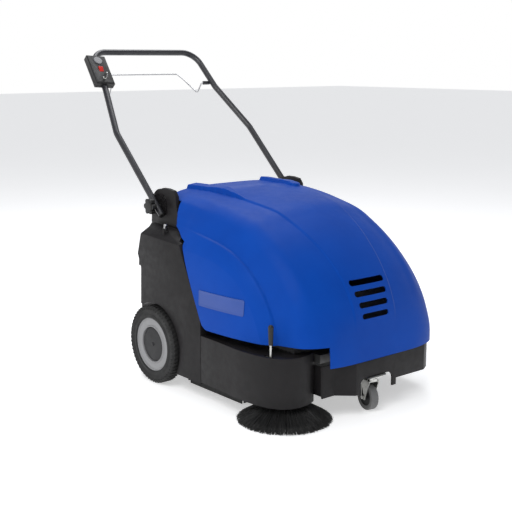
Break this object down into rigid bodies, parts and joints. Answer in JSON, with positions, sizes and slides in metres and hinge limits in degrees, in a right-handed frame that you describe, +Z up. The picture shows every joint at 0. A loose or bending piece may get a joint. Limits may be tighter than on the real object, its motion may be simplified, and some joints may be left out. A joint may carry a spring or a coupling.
{
  "type": "walk behind sweeper",
  "caption": "Battery walk-behind floor sweeper: hinged hood, folding push handle with drive bail, rear wheels, front caster, main broom, liftable side brush and slide-out debris hopper.",
  "frame": {"origin": "on the floor, on the machine centre plane, straight below the rear axle", "axes": "+Z up, +Y towards the operator, the machine drives towards -Y, its right side with the side brush is -X"},
  "size_m": [0.87, 1.481, 1.2535],
  "materials": {
    "blue_plastic": "satin moulded",
    "black_plastic": "fine moulded grain",
    "knob_plastic": "moulded",
    "cap_plastic": "moulded",
    "tyre_rubber": "ribbed",
    "rim_grey": "moulded",
    "rubber_black": "smooth",
    "caster_rubber": "smooth",
    "bristle": "packed filament",
    "frame_steel": "powder coat",
    "zinc_steel": "zinc plated",
    "wire_steel": "bright",
    "black_tube": "powder coat",
    "cast_grey": "as cast",
    "aluminium": "satin",
    "motor_paint": "satin",
    "battery_case": "moulded",
    "cable_red": "insulated wire",
    "filter_paper": "pleated",
    "gauge_lens": "clear over dark",
    "red_plastic": "moulded"
  },
  "bodies": {
    "chassis": {"base_frame": "frame_steel", "batteries": "battery_case", "battery_cables": "cable_red", "broom_bearings": "zinc_steel", "broom_motor": "motor_paint", "broom_shroud": "frame_steel", "brush_housing": "black_plastic", "caster_plate": "zinc_steel", "charger_box": "aluminium", "deck_plate": "frame_steel", "drive_belt": "rubber_black", "fan_housing": "cap_plastic", "filter_box": "cap_plastic", "filter_element": "filter_paper", "floor_skirts": "rubber_black", "front_body": "black_plastic", "handle_bracket_left": "black_plastic", "handle_bracket_right": "black_plastic", "pivot_pins": "zinc_steel", "rear_cover": "black_plastic", "side_panel_left": "black_plastic", "side_panel_right": "black_plastic", "side_plate_left": "frame_steel", "side_plate_right": "frame_steel", "traction_motor": "motor_paint", "transaxle_case": "cast_grey"},
    "wheel_right": {"half_shaft_right": "zinc_steel", "tyre_right": "tyre_rubber", "rim_right": "rim_grey", "hub_cap_right": "cap_plastic"},
    "wheel_left": {"half_shaft_left": "zinc_steel", "tyre_left": "tyre_rubber", "rim_left": "rim_grey", "hub_cap_left": "cap_plastic"},
    "main_broom": {"broom_core": "frame_steel", "broom_bristles": "bristle", "broom_pulley": "cast_grey"},
    "motor_pulley": {"motor_pulley": "cast_grey"},
    "hood": {"hood": "blue_plastic"},
    "latch": {"latch_hook": "wire_steel"},
    "brush_arm": {"side_brush_arm": "frame_steel", "side_brush_motor": "motor_paint"},
    "side_brush": {"side_brush_hub": "black_plastic", "side_brush_bristles": "bristle"},
    "lift_lever": {"lift_lever": "zinc_steel", "lever_grip": "knob_plastic"},
    "caster_fork": {"caster_fork": "zinc_steel"},
    "caster_wheel": {"caster_wheel": "caster_rubber"},
    "handle": {"handle_tube": "black_tube", "control_box": "knob_plastic", "control_cover": "knob_plastic", "control_gauge": "gauge_lens"},
    "control_key": {"control_key": "zinc_steel"},
    "drive_rocker": {"drive_rocker": "red_plastic"},
    "bail": {"bail": "wire_steel"},
    "knob_right": {"clamp_knob_right": "knob_plastic"},
    "knob_left": {"clamp_knob_left": "knob_plastic"},
    "hopper": {"hopper_bin": "black_plastic", "hopper_handle": "knob_plastic"},
    "fan": {"fan_impeller": "cast_grey"}
  },
  "joints": [
    {"name": "wheel_right_spin", "type": "hinge", "parent": "chassis", "child": "wheel_right", "pos_m": [-0.39, 0, 0.15], "axis": [1, 0, 0], "continuous": true},
    {"name": "wheel_left_spin", "type": "hinge", "parent": "chassis", "child": "wheel_left", "pos_m": [0.39, 0, 0.15], "axis": [1, 0, 0], "continuous": true},
    {"name": "caster_swivel", "type": "hinge", "parent": "chassis", "child": "caster_fork", "pos_m": [0, -0.756, 0.12], "axis": [0, 0, 1], "continuous": true},
    {"name": "caster_spin", "type": "hinge", "parent": "caster_fork", "child": "caster_wheel", "pos_m": [0.00457, -0.73448, 0.048], "axis": [0.9781, -0.2079, 0], "continuous": true},
    {"name": "handle_tilt", "type": "hinge", "parent": "chassis", "child": "handle", "pos_m": [0, 0.062, 0.668], "axis": [1, 0, 0], "range_deg": [-25, 105]},
    {"name": "bail_squeeze", "type": "hinge", "parent": "handle", "child": "bail", "pos_m": [0, 0.533, 1.11], "axis": [1, 0, 0], "range_deg": [0, 20], "stiffness_Nm_per_rad": 0.8, "springref_deg": -11.46},
    {"name": "key_turn", "type": "hinge", "parent": "handle", "child": "control_key", "pos_m": [-0.2774, 0.51306, 1.13691], "axis": [0, -0.739, 0.6737], "range_deg": [0, 90]},
    {"name": "drive_switch", "type": "hinge", "parent": "handle", "child": "drive_rocker", "pos_m": [-0.27307, 0.54674, 1.1709], "axis": [0.9959, -0.0607, -0.0666], "range_deg": [-8, 8]},
    {"name": "knob_right_turn", "type": "hinge", "parent": "chassis", "child": "knob_right", "pos_m": [-0.37, 0.062, 0.668], "axis": [1, 0, 0], "range_deg": [-180, 180]},
    {"name": "knob_left_turn", "type": "hinge", "parent": "chassis", "child": "knob_left", "pos_m": [0.37, 0.062, 0.668], "axis": [1, 0, 0], "range_deg": [-180, 180]},
    {"name": "hood_hinge", "type": "hinge", "parent": "chassis", "child": "hood", "pos_m": [0, 0.03, 0.7], "axis": [-1, 0, 0], "range_deg": [0, 62]},
    {"name": "latch_turn", "type": "hinge", "parent": "chassis", "child": "latch", "pos_m": [-0.365, -0.034, 0.591], "axis": [1, 0, 0], "range_deg": [-45, 0]},
    {"name": "hopper_slide", "type": "slide", "parent": "chassis", "child": "hopper", "axis": [0, 1, 0], "range_m": [0, 0.36]},
    {"name": "main_broom_spin", "type": "hinge", "parent": "chassis", "child": "main_broom", "pos_m": [0, -0.25, 0.136], "axis": [1, 0, 0], "continuous": true},
    {"name": "motor_pulley_spin", "type": "hinge", "parent": "chassis", "child": "motor_pulley", "pos_m": [0.328, -0.33, 0.336], "axis": [1, 0, 0], "continuous": true},
    {"name": "side_brush_lift", "type": "hinge", "parent": "chassis", "child": "brush_arm", "pos_m": [-0.284, -0.452, 0.15], "axis": [-1, 0, 0], "range_deg": [0, 3]},
    {"name": "lever_tilt", "type": "hinge", "parent": "chassis", "child": "lift_lever", "pos_m": [-0.373, -0.648, 0.205], "axis": [-1, 0, 0], "range_deg": [0, 21]},
    {"name": "side_brush_spin", "type": "hinge", "parent": "brush_arm", "child": "side_brush", "pos_m": [-0.284, -0.618, 0.08], "axis": [0, 0, -1], "continuous": true},
    {"name": "fan_spin", "type": "hinge", "parent": "chassis", "child": "fan", "pos_m": [0, 0.02, 0.55], "axis": [0, 0, 1], "continuous": true}
  ],
  "couplings": [
    {"joint": "motor_pulley_spin", "follows": "main_broom_spin", "ratio": 2},
    {"joint": "lever_tilt", "follows": "side_brush_lift", "ratio": 7}
  ]
}
